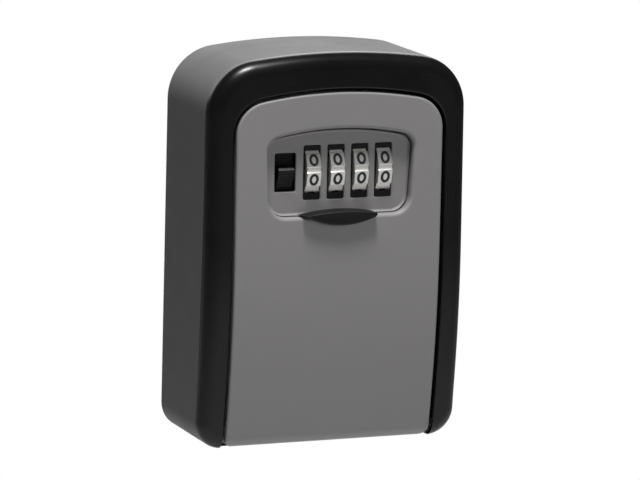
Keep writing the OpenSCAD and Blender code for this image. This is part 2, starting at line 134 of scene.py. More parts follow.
def crown(half, top, arch_r, corner_r, g, n_corner, n_arch):
    """Right half of an arched top, g inside its edge, from the start of the corner."""
    cx, arch_z = half - corner_r, top - arch_r
    cz = arch_z + math.sqrt((arch_r - corner_r) ** 2 - cx * cx)
    turn = math.degrees(math.atan2(cz - arch_z, cx))
    corner = arc(cx, cz, corner_r - g, 0, turn, n_corner)
    return corner + arc(0, arch_z, arch_r - g, turn, 90, n_arch)[1:]


def corner_start(half, top, arch_r, corner_r):
    return crown(half, top, arch_r, corner_r, 0, 1, 1)[0][1]


def arched_loop(half, foot_half, top, arch_r, corner_r, foot, foot_r, g):
    """A closed arched outline with straight sides and rounded lower corners."""
    right = arc(foot_half - foot_r, foot + foot_r, foot_r - g, -90, 0, 10)
    return mirrored(right + crown(half, top, arch_r, corner_r, g, 10, 12))


def front_y(z, o=0.0):
    """Depth of the front at height z, o behind its surface."""
    if z >= FRONT_Z:
        return FRONT + o
    return FRONT_C - math.sqrt((FRONT_R - o) ** 2 - (FRONT_Z - z) ** 2)


def seam_y(z):
    h = max(0.0, SEAM_Z - z)
    return SEAM + SEAM_R - math.sqrt(SEAM_R ** 2 - h * h)


def quarter(n):
    """(1 - sin, 1 - cos) along a quarter turn."""
    angles = [math.pi / 2 * i / n for i in range(n + 1)]
    return [(1 - math.sin(a), 1 - math.cos(a)) for a in angles]


# ---- meshes ----

class Shell:
    """Gathers rows of points in millimetres and makes one closed smooth mesh of them."""

    def __init__(self):
        self.bm = bmesh.new()

    def row(self, points):
        return [self.bm.verts.new(Vector(p) * MM) for p in points]

    def skin(self, rows, around=False, close=False):
        """Faces between each row and the next; around joins each row's ends, close the last row and first."""
        rows = [self.row(r) for r in rows]
        pairs = list(zip(rows, rows[1:])) + ([(rows[-1], rows[0])] if close else [])
        for a, b in pairs:
            for i in range(len(a) if around else len(a) - 1):
                j = (i + 1) % len(a)
                self.bm.faces.new((a[i], a[j], b[j], b[i]))

    def fill(self, *loops):
        """Flat face inside the first loop, with the other loops as holes."""
        edges = []
        for loop in loops:
            verts = self.row(loop)
            edges += [self.bm.edges.new((a, b)) for a, b in zip(verts, verts[1:] + verts[:1])]
        bmesh.ops.triangle_fill(self.bm, use_beauty=True, use_dissolve=False, edges=edges)

    def prism(self, profile, x0, x1, edge=0.0, segments=2):
        """A side-view (y, z) profile drawn out along X, its edges rounded."""
        part = bmesh.new()
        ends = [[part.verts.new(Vector((x, y, z)) * MM) for y, z in profile] for x in (x0, x1)]
        part.faces.new(ends[0])
        part.faces.new(ends[1][::-1])
        for i in range(len(profile)):
            j = (i + 1) % len(profile)
            part.faces.new((ends[0][i], ends[1][i], ends[1][j], ends[0][j]))
        bmesh.ops.recalc_face_normals(part, faces=part.faces)
        if edge:
            sharp = [e for e in part.edges if e.calc_face_angle(0) > 0.6]
            bmesh.ops.bevel(part, geom=sharp, offset=edge * MM, segments=segments, profile=0.5,
                            affect="EDGES", clamp_overlap=True)
        self.take(part)

    def take(self, part):
        mesh = bpy.data.meshes.new("part")
        part.to_mesh(mesh)
        part.free()
        self.bm.from_mesh(mesh)
        bpy.data.meshes.remove(mesh)

    def piece(self, name, material, body, slot, *nodes, sharp=32, second=None, where=None):
        """The gathered mesh as an object; faces that pass where() take the second material."""
        bm = self.bm
        bmesh.ops.remove_doubles(bm, verts=bm.verts, dist=1e-6)
        bmesh.ops.dissolve_degenerate(bm, edges=bm.edges, dist=1e-7)
        bmesh.ops.recalc_face_normals(bm, faces=bm.faces)
        mesh = bpy.data.meshes.new(name)
        bm.to_mesh(mesh)
        bm.free()
        mesh.shade_smooth()
        mesh.set_sharp_from_angle(angle=math.radians(sharp))
        obj = bpy.data.objects.new(name, mesh)
        bpy.context.scene.collection.objects.link(obj)
        mesh.materials.append(material)
        if second:
            mesh.materials.append(second)
            for face in mesh.polygons:
                face.material_index = int(where(face.center / MM))
        normals = obj.modifiers.new("normals", "WEIGHTED_NORMAL")
        normals.keep_sharp = True
        if body:
            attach(obj, body)
        if nodes:
            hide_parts(*nodes)
        return obj


# ---- materials ----

def finish(name, colour, rough, metal=0.0, grain=900.0, bump=0.15, mottle=0.12, streak=None,
           rough_span=0.12, specular=0.5, coat=0.0):
    """A surface with fine grain, slow mottling of its colour and uneven gloss."""
    mat = bpy.data.materials.new(name)
    mat.use_nodes = True
    nodes, links = mat.node_tree.nodes, mat.node_tree.links
    shader = nodes["Principled BSDF"]
    shader.inputs["Metallic"].default_value = metal
    shader.inputs["Specular IOR Level"].default_value = specular
    shader.inputs["Coat Weight"].default_value = coat
    place = nodes.new("ShaderNodeTexCoord").outputs["Object"]
    if streak:                               # brushed or rolled along one axis
        stretch = nodes.new("ShaderNodeMapping")
        stretch.inputs["Scale"].default_value = streak
        links.new(place, stretch.inputs["Vector"])
        place = stretch.outputs["Vector"]

    def noise(scale, detail, roughness=0.55):
        n = nodes.new("ShaderNodeTexNoise")
        n.inputs["Scale"].default_value = scale
        n.inputs["Detail"].default_value = detail
        n.inputs["Roughness"].default_value = roughness
        links.new(place, n.inputs["Vector"])
        return n.outputs["Fac"]

    def ramp(fac, low, high):
        r = nodes.new("ShaderNodeMapRange")
        r.inputs["From Min"].default_value, r.inputs["From Max"].default_value = 0.3, 0.7
        r.inputs["To Min"].default_value, r.inputs["To Max"].default_value = low, high
        links.new(fac, r.inputs["Value"])
        return r.outputs["Result"]

    slow, fine = noise(45.0, 4.0), noise(grain, 3.0)
    tint = nodes.new("ShaderNodeMix")
    tint.data_type = "RGBA"
    tint.inputs[6].default_value = [c * (1 - mottle) for c in colour] + [1]
    tint.inputs[7].default_value = [c * (1 + mottle) for c in colour] + [1]
    both = nodes.new("ShaderNodeMath")
    both.operation = "MULTIPLY_ADD"
    both.inputs[1].default_value = 0.6
    links.new(slow, both.inputs[0])
    links.new(ramp(fine, 0.0, 0.4), both.inputs[2])
    links.new(both.outputs[0], tint.inputs[0])
    links.new(tint.outputs[2], shader.inputs["Base Color"])
    links.new(ramp(slow, rough - rough_span / 2, rough + rough_span / 2), shader.inputs["Roughness"])
    rise = nodes.new("ShaderNodeBump")
    rise.inputs["Strength"].default_value = bump
    rise.inputs["Distance"].default_value = 0.00005
    links.new(fine, rise.inputs["Height"])
    links.new(rise.outputs["Normal"], shader.inputs["Normal"])
    return mat


PAINT = finish("housing_paint", (0.088, 0.087, 0.087), 0.55, grain=2200, bump=0.35, mottle=0.07,
               specular=0.35)
BLACK = finish("bezel_plastic", (0.005, 0.005, 0.0051), 0.27, grain=1500, bump=0.06, mottle=0.15,
               specular=0.3)
GREY = finish("door_plastic", (0.226, 0.219, 0.22), 0.5, grain=2600, bump=0.12, mottle=0.03, specular=0.35)
ZINC = finish("frame_zinc", (0.3, 0.3, 0.31), 0.5, 0.9, grain=700, bump=0.4, mottle=0.15)
MOULDED = finish("black_plastic", (0.006, 0.006, 0.006), 0.42, grain=1600, bump=0.1, mottle=0.15,
                 specular=0.3)
# lighter grey for the chamfer along the release button's ledge: a painted highlight
LEDGE_HIGHLIGHT = finish("ledge_painted_highlight", (0.04, 0.04, 0.04), 0.3, grain=1600, bump=0.1, mottle=0.15)
CASE = finish("case_plastic", (0.02, 0.02, 0.021), 0.55, grain=1300, bump=0.3, mottle=0.2)
PLATE = finish("plate_paint", (0.03, 0.03, 0.032), 0.45, grain=1800, bump=0.3, mottle=0.15)
ZINC_PLATE = finish("steel_plate", (0.55, 0.55, 0.54), 0.32, 1.0, grain=500, bump=0.12, streak=(1, 1, 0.06))
SCREW = finish("screw_steel", (0.5, 0.5, 0.51), 0.3, 1.0, grain=900, bump=0.15)
GROUND = finish("pin_steel", (0.62, 0.62, 0.63), 0.2, 1.0, grain=700, bump=0.08, streak=(0.05, 1, 1))
WIRE = finish("spring_steel", (0.45, 0.45, 0.47), 0.28, 1.0, grain=1200, bump=0.1)
BRONZE = finish("spring_bronze", (0.55, 0.4, 0.2), 0.33, 1.0, grain=600, bump=0.1, streak=(1, 0.08, 1))
NYLON = finish("washer_plastic", (0.65, 0.62, 0.53), 0.45, grain=1500, bump=0.1, mottle=0.05)
DIAL = finish("dial_metal", (0.66, 0.66, 0.64), 0.36, 0.85, grain=1500, bump=0.25, mottle=0.1)
GROOVE = finish("groove_metal", (0.8, 0.78, 0.74), 0.5, 0.15, grain=1500, bump=0.2, mottle=0.06)
DIGIT = finish("digit_paint", (0.006, 0.006, 0.006), 0.5, grain=2000, bump=0.15, mottle=0.2)
BRASS = finish("cam_brass", (0.6, 0.42, 0.17), 0.27, 1.0, grain=700, bump=0.1, streak=(0.1, 1, 1))

CAD_FINISH = {
    "back_housing": PAINT, "bezel_screws": SCREW, "keeper_plate": ZINC_PLATE, "keeper_screws": SCREW,
    "hinge_pin": GROUND, "door_frame": ZINC, "lock_frame": CASE, "dial_axle": GROUND,
    "axle_clips": WIRE, "axle_spacers": NYLON, "detent_spring": BRONZE, "back_plate": PLATE,
    "back_plate_screws": SCREW, "latch_plate": ZINC_PLATE, "gate_fingers": ZINC_PLATE,
    "button_screw": SCREW, "code_lever": MOULDED,
    "code_cam_1": BRASS, "code_cam_2": BRASS, "code_cam_3": BRASS, "code_cam_4": BRASS,
}


# width of the rounded edges that each node's finished piece gets, in millimetres
ROUNDED = {
    "back_housing": 0.15, "bezel_screws": 0.12, "keeper_plate": 0.15, "keeper_screws": 0.1,
    "hinge_pin": 0.25, "door_frame": 0.25, "lock_frame": 0.2,
    "dial_axle": 0.15, "axle_clips": 0.08, "axle_spacers": 0.12,
    "detent_spring": 0.08, "back_plate": 0.15, "back_plate_screws": 0.12, "latch_plate": 0.12,
    "gate_fingers": 0.1, "button_screw": 0.1, "code_lever": 0.3,
    "code_cam_1": 0.12, "code_cam_2": 0.12, "code_cam_3": 0.12, "code_cam_4": 0.12,
}
PIERCED = {"lock_frame"}                     # its flats have windows in them, so they stay in triangles
ONE_FLAT = math.radians(0.6)                 # faces that turn less than this are one flat
HARD_EDGE = math.radians(38)                 # edges that turn more than this are rounded


def finish_cad():
    """Each remaining node as a smooth piece of its own, its hard edges rounded."""
    carried = frame["record"]["behaviour"]["bodies"]
    bodies = {node: body for body, nodes in carried.items() for node in nodes}
    slots = {part["node"]: part["material_slot"] for part in frame["record"]["subparts"]}
    for node, width in ROUNDED.items():
        shell = Shell()
        shell.bm.from_mesh(frame["nodes"][node].data)
        bm = shell.bm
        bmesh.ops.remove_doubles(bm, verts=bm.verts, dist=2e-6)
        if node not in PIERCED:
            bmesh.ops.dissolve_limit(bm, angle_limit=ONE_FLAT, verts=bm.verts, edges=bm.edges)
        hard = [e for e in bm.edges if e.is_manifold and e.calc_face_angle(0) > HARD_EDGE]
        bmesh.ops.bevel(bm, geom=hard, offset=width * MM, segments=2, profile=0.5, affect="EDGES",
                        clamp_overlap=True)
        shell.piece(node + ".finished", CAD_FINISH[node], bodies[node], slots[node], node, sharp=36)


# ---- bezel ----

def make_bezel():
    """Frame open at the foot, drawn as a U-shaped section carried round the outline."""
    start = DOOR + GAP
    leg_x, leg_z, leg_r = FOOT_HALF - FOOT_R, BASE + FOOT_R, FOOT_R
    shoulder = (HALF, TOP, TOP_ARCH, SHOULDER_R)
    shoulder_z = corner_start(*shoulder)
    sides = [-47 + 3.5 * i for i in range(22)]           # heights up the straight sides
    n_foot, n_arch = 12, 44
    lip, lip_back, wall = 1.5, -31, 2.2

    def outer(g, x0=start + 0.05):
        low = -math.degrees(math.acos(min(1, (x0 - leg_x) / (leg_r - g))))
        right = arc(leg_x, leg_z, leg_r - g, low, 0, n_foot)
        slope = (FOOT_HALF - HALF) / (shoulder_z - leg_z)
        right += [(HALF + slope * (shoulder_z - z) - g, z) for z in sides + [33, 38]]
        return mirrored(right + crown(*shoulder, g, 26, n_arch))

    foot_heights = [z for _, z in outer(EDGE)[:n_foot + 1]]

    def opening(e):
        grown = [e * min(1.0, i / 3) for i in range(n_foot + 1)]
        right = [(start + d, z) for d, z in zip(grown, foot_heights)]
        right += [(start + e, z) for z in sides]
        return mirrored(right + crown(DOOR + GAP, DOOR_TOP + GAP, DOOR_ARCH + GAP, DOOR_CORNER + GAP,
                                      -e, 28, n_arch))

    def edge_radius(z):
        return min(EDGE, seam_y(z) - front_y(z) - 0.25)

    rows = [[(x, seam_y(z), z) for x, z in outer(0)]]
    for back, side in quarter(10):
        rows.append([(x, front_y(z, edge_radius(z) * back), z) for x, z in outer(EDGE * side)])
    for e, drop in [(0.6 * a, 0.6 * b) for a, b in quarter(4)]:
        rows.append([(x, front_y(z, drop), z) for x, z in opening(e)])
    rows.append([(x, lip_back, z) for x, z in opening(0)])
    rows.append([(x, lip_back, z) for x, z in opening(lip)])
    rows.append([(x, front_y(z, wall), z) for x, z in opening(lip)])
    rows.append([(x, front_y(z, wall), z) for x, z in outer(wall, start + lip + 0.05)])
    rows.append([(x, seam_y(z), z) for x, z in outer(wall, start + lip + 0.05)])
    shell = Shell()
    shell.skin(rows, close=True)
    for end in (0, -1):
        shell.fill([r[end] for r in rows])
    shell.piece("bezel", BLACK, "box", "bezel_plastic", "front_bezel")


# ---- door cover ----

TANGENT = math.asin((FRONT_Z - PIN_Z) / (FRONT_R - ROLL))    # where the front meets the roll
ROLL_END = math.radians(135)


def door_profile(kind, t, o):
    """(y, z) on the front: kind 'z' at height t, 'arc' at angle t, 'roll' at angle t."""
    if kind == "z":
        return FRONT + o, t
    if kind == "arc":
        r = FRONT_R - o
        return FRONT_C - r * math.cos(t), FRONT_Z - r * math.sin(t)
    r = ROLL - o
    return PIN_Y - r * math.cos(t), PIN_Z - r * math.sin(t)


def door_stations():
    """Stations from the end of the roll up to the start of the door's upper corner."""
    hole_top = math.asin((FRONT_Z - (PIN_Z + PIN_HOLE)) / FRONT_R)
    roll = [("roll", ROLL_END + (TANGENT - ROLL_END) * i / 16) for i in range(16)]
    near = [("arc", TANGENT + (hole_top - TANGENT) * i / 5) for i in range(6)]
    far = [("arc", hole_top * (1 - i / 18)) for i in range(1, 18)]
    flat = [("z", FRONT_Z + 5.5 * i) for i in range(FLAT_STATIONS)]
    return roll + near + far + flat


def make_cover():
    """Grey door shell: curved front, rounded edges, the roll round its pin and the recess."""
    stations = door_stations()
    corner_r, wall, front_wall, edge = 2.6, 1.6, 1.8, 0.8
    top = (DOOR, DOOR_TOP, DOOR_ARCH, DOOR_CORNER)
    flat_from = len(stations) - FLAT_STATIONS              # first station of the flat front

    def half_width(z):
        h = (COVER[0].z + corner_r) - z
        return DOOR if h <= 0 else DOOR - corner_r + math.sqrt(corner_r ** 2 - min(h, corner_r) ** 2)

    def side(g, o):
        """Row g in from the edge and o behind the front, from right foot to left foot."""
        right = []
        for kind, t in stations:
            y, z = door_profile(kind, t, 0)
            yo, zo = door_profile(kind, t, o if kind != "roll" else min(o, ROLL - 3.1))
            right.append((half_width(z) - g, yo, zo))
        right += [(x, FRONT + o, z) for x, z in crown(*top, g, 12, 16)]
        return right + [(-x, y, z) for x, y, z in reversed(right[:-1])]

    def back(x_in):
        """Row along the flange's back edge, which ends in the pin hole."""
        right = []
        for i, (kind, t) in enumerate(stations):
            if kind == "roll" or i < 22:
                turn = t if kind == "roll" else -math.pi / 2 + (TANGENT + math.pi / 2) * (21 - i) / 5
                right.append((DOOR - x_in, PIN_Y - PIN_HOLE * math.cos(turn),
                              PIN_Z - PIN_HOLE * math.sin(turn)))
            else:
                right.append((DOOR - x_in, FLANGE, door_profile(kind, t, 0)[1]))
        right += [(x, FLANGE, z) for x, z in crown(*top, x_in, 12, 16)]
        return right + [(-x, y, z) for x, y, z in reversed(right[:-1])]

    outer_rows = [side(edge * b, edge * a) for a, b in reversed(quarter(5))]   # front edge outwards
    rows = outer_rows + [back(0), back(wall), side(wall, front_wall)]
    shell = Shell()
    shell.skin(rows)

    def front_sheet(row, hole):
        """Strips across the curved front, and one flat face round the panel's opening."""
        n = len(row)
        for i in range(flat_from):
            shell.skin([[row[i], row[i + 1]], [row[n - 1 - i], row[n - 2 - i]]])
        shell.fill(row[flat_from:n - flat_from], hole)

    front_sheet(rows[0], [(x, FRONT, z) for x, z in recess(1.2)])
    front_sheet(rows[-1], [(x, FRONT + front_wall, z) for x, z in recess(wall)])
    shell.fill([r[0] for r in rows] + [r[-1] for r in reversed(rows)])
    rim = [[(x, FRONT + 1.2 * b, z) for x, z in recess(1.2 * a)] for a, b in quarter(8)]
    rim += [[(x, FLOOR + 0.8, z) for x, z in recess(e)] for e in (0, wall)]
    rim += [[(x, FRONT + front_wall, z) for x, z in recess(wall)]]
    shell.skin(rim, around=True)
    shell.piece("cover", GREY, "door", "door_plastic", "door_cover")


def recess(e):
    """The panel's opening in the cover, grown by e."""
    return [(x + RECESS_X, z) for x, z in arched_loop(*RECESS, -e)]


# ---- dial panel ----

def rounded_window(cx, half, z0, z1, e, r=0.45):
    corners = [(cx + half - r, z0 + r, -90), (cx + half - r, z1 - r, 0),
               (cx - half + r, z1 - r, 90), (cx - half + r, z0 + r, 180)]
    return [p for x, z, a in corners for p in arc(x, z, r + e, a, a + 90, 4)]


WHEEL_X = [w[0].x for w in WHEELS]
WHEEL_W = WHEELS[0][1].x - WHEELS[0][0].x
DIAL_WINDOWS = [(x + WHEEL_W / 2 - 0.1, *DIAL_WINDOW) for x in WHEEL_X]
WINDOWS = DIAL_WINDOWS + [((BUTTON[0].x + BUTTON[1].x) / 2, *BUTTON_WINDOW)]


def make_panel():
    """Floor of the recess, dished up to a lip all round, with the five windows."""
    gap, dish, flange, flange_y = 0.35, 0.8, 1.6, FLOOR + 0.85
    lip_y = FLOOR - PANEL_LIP
    back_y = PANEL[1].y

    def at(e, y):
        return [(x + PANEL_SHIFT[0], y, z + PANEL_SHIFT[1]) for x, z in recess(e)]

    rows = [at(flange, back_y), at(flange, flange_y), at(-gap, flange_y), at(-gap, lip_y + 0.12),
            at(-gap - 0.12, lip_y)]
    dish_out = -gap - 0.2
    rows += [at(dish_out - dish * b, lip_y + dish * (1 - a)) for a, b in quarter(6)]
    shell = Shell()
    shell.skin(rows, around=True)
    holes = [[(x, FLOOR, z) for x, z in rounded_window(*w, WINDOW_EDGE)] for w in WINDOWS]
    shell.fill(rows[-1], *holes)
    shell.fill(rows[0], *[[(x, back_y, z) for x, z in rounded_window(*w, 0)] for w in WINDOWS])
    for w in WINDOWS:
        ways = [(WINDOW_EDGE, 0), (0.2, 0.05), (0.05, 0.2), (0, WINDOW_EDGE)]
        shell.skin([[(x, FLOOR + d, z) for x, z in rounded_window(*w, e)] for e, d in ways]
                   + [[(x, back_y, z) for x, z in rounded_window(*w, 0)]], around=True)
    shell.piece("panel", GREY, "door", "door_plastic", "dial_panel")


def make_painted_window_shade():
    """Black walls inside the windows and black ends above and below each dial: painted shade where the windows
    fall dark.
    """
    shell = Shell()
    for w in WINDOWS:
        y0, y1 = FLOOR + 0.4, PANEL[1].y - 0.02
        shell.skin([[(x, y, z) for x, z in rounded_window(*w, e)]
                    for e, y in ((-0.03, y0), (-0.03, y1), (-0.16, y1), (-0.16, y0 + 0.05), (-0.12, y0))],
                   around=True, close=True)
    clear, front, back = 9.98, FLOOR + 0.12, PANEL[1].y - 0.02      # clear of the turning dial
    # black ends above and below each dial, painted shade over its faces deep in the window
    for x, half, foot, head in DIAL_WINDOWS:
        for end, way in ((foot + 0.03, -1), (head - 0.03, 1)):
            ring = [front + (back - front) * k / 6 for k in range(7)]
            ring = [(y, AXLE_Z + way * math.sqrt(clear ** 2 - (y - AXLE_Y) ** 2)) for y in ring]
            shell.prism([(back, end), (front, end)] + ring, x - half + 0.1, x + half - 0.1)
    shell.piece("window_painted_shade", MOULDED, "door", "black_plastic")


# ---- finger pull ----

def make_pull():
    """Black lens-shaped lip, with a shelf behind it that is longer to the left."""
    cx, cz = RECESS_X, PULL_Z
    hw = (PULL[1].x - PULL[0].x) / 2
    blunt = 1.6                                          # cut off each pointed tip

    def lens(half, up, down, y, floor=None, left=0.0):
        """Lens outline from its right tip over the top and back below, drawn out to the left."""
        n = 24
        long = half + blunt
        ru, rd = (long * long + up * up) / (2 * up), (long * long + down * down) / (2 * down)
        au, ad = math.degrees(math.asin(long / ru)), math.degrees(math.asin(long / rd))
        points = arc(cx, cz + up - ru, ru, 90 - au, 90 + au, n)
        points += arc(cx, cz + rd - down, rd, 270 - ad, 270 + ad, n)[1:-1]
        if floor is not None:
            points = [(x, max(z, floor)) for x, z in points]
        points = [(min(x, cx + half), z) for x, z in points]
        points = [(x + (left - blunt) * min(0, x - cx) / long, z) for x, z in points]
        return [(x, y, z) for x, z in points]

    front = PULL[0].y
    shelf = cz + 0.15
    rows = [lens(hw - 0.2, 1.45, 1.0, PULL_BACK, shelf, 2.3),
            lens(hw - 0.2, 1.42, 1.0, PULL_BACK - 0.6, shelf, 2.1),
            lens(hw - 0.1, 1.3, 2.6, FRONT + 0.1, shelf, 1.4),
            lens(hw + 0.1, 1.2, 3.2, FRONT - 0.03, None, 0.9)]
    for a, b in quarter(5):
        cut = 0.55 * b
        rows.append(lens(hw + 0.2 - 1.6 * cut, 1.12 - 0.9 * cut, 3.2 - cut, front + 0.55 * a, None, 0.6))
    rows.append(lens(hw - 4, 0.35, 1.8, front + 0.06))
    shell = Shell()
    shell.skin(rows, around=True)
    shell.fill(rows[0])
    shell.fill(rows[-1])
    shell.piece("pull", MOULDED, "door", "black_plastic", "thumb_pull", sharp=40)


# ---- release button ----

def make_button():
    """Ribbed thumb piece on its plate, with the arm that reaches the latch."""
    x0, x1 = BUTTON[0].x, BUTTON[1].x
    cx = (x0 + x1) / 2
    face, foot, head = FLOOR + 1.9, BUTTON[0].z, BUTTON[1].z
    ledge_y, ledge_z, end_z, half = BUTTON[0].y, 25.6, 18.7, 2.55
    shell = Shell()
    shell.prism([(face, foot), (face, head), (face + 1.4, head), (face + 1.4, foot)], x0, x1, 0.15)
    for i in range(5):                                   # ribs above the ledge
        z = ledge_z + 0.7 + 0.8 * i
        bump = [(face - 0.2 * math.cos(a), z + 0.26 * math.sin(a))
                for a in [math.radians(-90 + 30 * k) for k in range(7)]]
        shell.prism(bump + [(face + 0.2, z + 0.26), (face + 0.2, z - 0.26)], cx - half, cx + half, 0.05, 1)
    slope = [(ledge_y, ledge_z - 1.3), (face - 0.45, end_z)]
    ribs = []
    n = 7
    for i in range(n * 6 + 1):                           # ribs down the slope
        t = i / (n * 6)
        y = slope[0][0] + (slope[1][0] - slope[0][0]) * t
        z = slope[0][1] + (slope[1][1] - slope[0][1]) * t
        ribs.append((y + 0.13 * (1 - math.cos(2 * math.pi * n * t)), z))
    profile = [(face + 0.3, ledge_z), (ledge_y + 0.75, ledge_z), (ledge_y, ledge_z - 0.6)]
    profile += ribs + [(face + 0.3, end_z)]
    shell.prism(profile, cx - half, cx + half, 0.12, 2)
    arm_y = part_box("latch_plate")[0].y / MM
    shell.prism([(face + 1, 15), (face + 1, 21), (arm_y, 21), (arm_y, 15)], cx - 2.2, cx + 2.2, 0.2)

    def on_ledge(p):
        return ledge_z - 0.62 < p.z < ledge_z + 0.02 and ledge_y - 0.02 < p.y < ledge_y + 0.77

    # the ledge's chamfer takes the lighter grey, a painted highlight along its edge
    shell.piece("button", MOULDED, "latch", "black_plastic", "release_button", sharp=40,
                second=LEDGE_HIGHLIGHT, where=on_ledge)


# ---- dial wheels and digits ----

def wheel_section(inset):
    """Angle and radius of the points round the ten faces and finger grooves."""
    apothem, floor_r = FACE_R, GROOVE_R
    corner = apothem / math.cos(math.radians(18))
    slope = math.tan(math.radians(18))
    groove = [(-1.0, corner - 1.0 * slope), (-0.88, corner - 0.88 * slope - 0.1), (-0.84, floor_r + 0.08),
              (-0.74, floor_r), (0, floor_r), (0.74, floor_r), (0.84, floor_r + 0.08),
              (0.88, corner - 0.88 * slope - 0.1), (1.0, corner - 1.0 * slope)]
    points = []
    for k in range(10):
        a = math.radians(36 * k)
        for t, r in groove:
            points.append((a + math.atan2(t, r), math.hypot(t, r) - inset))
        for q in (-0.5, 0, 0.5):                         # across the flat face
            t = q * 2.2
            points.append((a + math.radians(18) + math.atan2(t, apothem), math.hypot(t, apothem) - inset))
    return points


def make_wheel(i):
    """Ten-sided dial with its bore and the pocket in its left face."""
    edge = 0.22
    bore, hub, pocket = 1.55, 3.4, 7.4
    x0, w = WHEEL_X[i], WHEEL_W

    def ring(x, inset=0.0, r=None):
        out = []
        for a, radius in wheel_section(inset):
            turn = a + math.radians(GROOVE_TILT)
            use = radius if r is None else r
            out.append((x0 + x, AXLE_Y - use * math.cos(turn), AXLE_Z + use * math.sin(turn)))
        return out

    rows = [ring(0, edge), ring(0.07, 0.07), ring(edge), ring(w - edge), ring(w - 0.07, 0.07), ring(w, edge),
            ring(w, r=bore + 0.15), ring(w - 0.15, r=bore), ring(0.15, r=bore), ring(0, r=bore + 0.15),
            ring(0, r=hub - 0.1), ring(0.1, r=hub), ring(1, r=hub), ring(1, r=pocket), ring(0.1, r=pocket),
            ring(0, r=pocket + 0.1)]
    shell = Shell()
    shell.skin(rows, around=True, close=True)

    def in_groove(p):
        r = math.hypot(p.y - AXLE_Y, p.z - AXLE_Z)
        return GROOVE_R - 0.12 < r < GROOVE_R + 0.1 and x0 + edge <= p.x <= x0 + w - edge

    shell.piece(f"wheel_{i + 1}", DIAL, f"dial_{i + 1}", "dial_metal", f"dial_wheel_{i + 1}", sharp=25,
                second=GROOVE, where=in_groove)


DIGIT_W, DIGIT_H, STROKE = 2.15, 3.0, 0.85                # centre-line size of a digit


def ellipse(cx, cy, rx, ry, a0, a1, n=20):
    angles = [math.radians(a0 + (a1 - a0) * i / n) for i in range(n + 1)]
    return [(cx + rx * math.cos(a), cy + ry * math.sin(a)) for a in angles]


# strokes of each digit on a field 2 wide and 2 high
DIGITS = {
    0: [(True, ellipse(0, 0, 1, 1, 0, 360, 40)[:-1])],
    1: [(False, [(-0.45, 0.55), (0.1, 1), (0.1, -1)])],
    2: [(False, ellipse(0, 0.45, 0.9, 0.55, 165, -35) + [(-0.9, -1), (0.95, -1)])],
    3: [(False, ellipse(-0.1, 0.5, 0.85, 0.5, 150, -90) + ellipse(-0.1, -0.5, 0.95, 0.5, 90, -150)[1:])],
    4: [(False, [(0.95, -0.4), (-0.95, -0.4), (0.4, 1), (0.4, -1)])],
    5: [(False, [(0.8, 1), (-0.7, 1), (-0.8, 0.1)] + ellipse(-0.05, -0.35, 0.95, 0.65, 140, -145))],
    6: [(False, ellipse(0.25, -0.2, 1.2, 1.2, 80, 180)),
        (True, ellipse(0, -0.4, 0.93, 0.6, 0, 360, 30)[:-1])],
    7: [(False, [(-0.9, 1), (0.9, 1), (-0.2, -1)])],
    8: [(True, ellipse(0, 0.5, 0.8, 0.5, 0, 360, 30)[:-1]),
        (True, ellipse(0, -0.5, 0.95, 0.5, 0, 360, 30)[:-1])],
}

# across a stroke, as a share of half its width and the height over the face of the dial
STROKE_SECTION = ((-1, -0.06), (-1, 0.012), (-0.8, 0.03), (0.8, 0.03), (1, 0.012), (1, -0.06))


def add_stroke(shell, path, closed, place):
    """A flat ribbon along a centre line, as a closed strip of its own."""
    n = len(path)
    sections = []
    for i, (x, y) in enumerate(path):
        if closed:
            ax, ay, bx, by = *path[i - 1], *path[(i + 1) % n]
        else:
            ax, ay, bx, by = *path[max(i - 1, 0)], *path[min(i + 1, n - 1)]
        d = Vector((bx - ax, by - ay)).normalized()
        side = Vector((-d.y, d.x))
        if not closed and 0 < i < n - 1:                 # keep the width through a corner
            d0 = Vector((x - ax, y - ay)).normalized()
            side /= max(0.55, abs(Vector((-d0.y, d0.x)).dot(side)))
        sections.append([place(x + s * side.x * STROKE / 2, y + s * side.y * STROKE / 2, h)
                         for s, h in STROKE_SECTION])
    shell.skin(sections, around=True, close=closed)
    if not closed:
        shell.fill(sections[0])
        shell.fill(sections[-1])


def make_digits(i):
    """Black digits, one to a face; both faces in the window carry a nought."""
    shown = {0: 0, 9: 0}
    rest = iter(range(1, 9))
    middle = WHEEL_X[i] + WHEEL_W / 2
    shell = Shell()
    for face in range(10):
        digit = shown[face] if face in shown else next(rest)
        turn = math.radians(GROOVE_TILT + 18 + 36 * face)

        def place(u, v, h, turn=turn):
            r = FACE_R + h
            y = -r * math.cos(turn) + v * math.sin(turn)
            z = r * math.sin(turn) + v * math.cos(turn)
            return middle + u, AXLE_Y + y, AXLE_Z + z

        for closed, path in DIGITS[digit]:
            scaled = [(x * DIGIT_W / 2, y * DIGIT_H / 2) for x, y in path]
            add_stroke(shell, scaled, closed, place)
    shell.piece(f"digits_{i + 1}", DIGIT, f"dial_{i + 1}", "dial_metal", sharp=40)


# ---- latch spring ----

def make_spring():
    """Wire wound with closed end turns."""
    cx, cy = [(a + b) / 2 for a, b in zip(SPRING[0], SPRING[1])][:2]
    wire = 0.25
    z0, z1 = SPRING[0].z + wire, SPRING[1].z - wire
    turns, steps = 7, 24
    radius = (SPRING[1].x - SPRING[0].x) / 2 - wire
    n = turns * steps
    shell = Shell()
    rows = []
    for k in range(n + 1):
        t = k / n
        rise = min(max((t - 0.13) / 0.74, 0), 1)
        rise = 0.06 * t + 0.94 * rise
        a = 2 * math.pi * turns * t
        z = z0 + (z1 - z0) * rise
        rows.append([(cx + (radius + wire * math.cos(b)) * math.cos(a),
                      cy + (radius + wire * math.cos(b)) * math.sin(a), z + wire * math.sin(b))
                     for b in [2 * math.pi * j / 10 for j in range(10)]])
    shell.skin(rows, around=True)
    shell.fill(rows[0])
    shell.fill(rows[-1])
    spring = shell.piece("spring", WIRE, None, "spring_steel", "latch_spring", sharp=60)
    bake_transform(spring)


# ---- studio ----

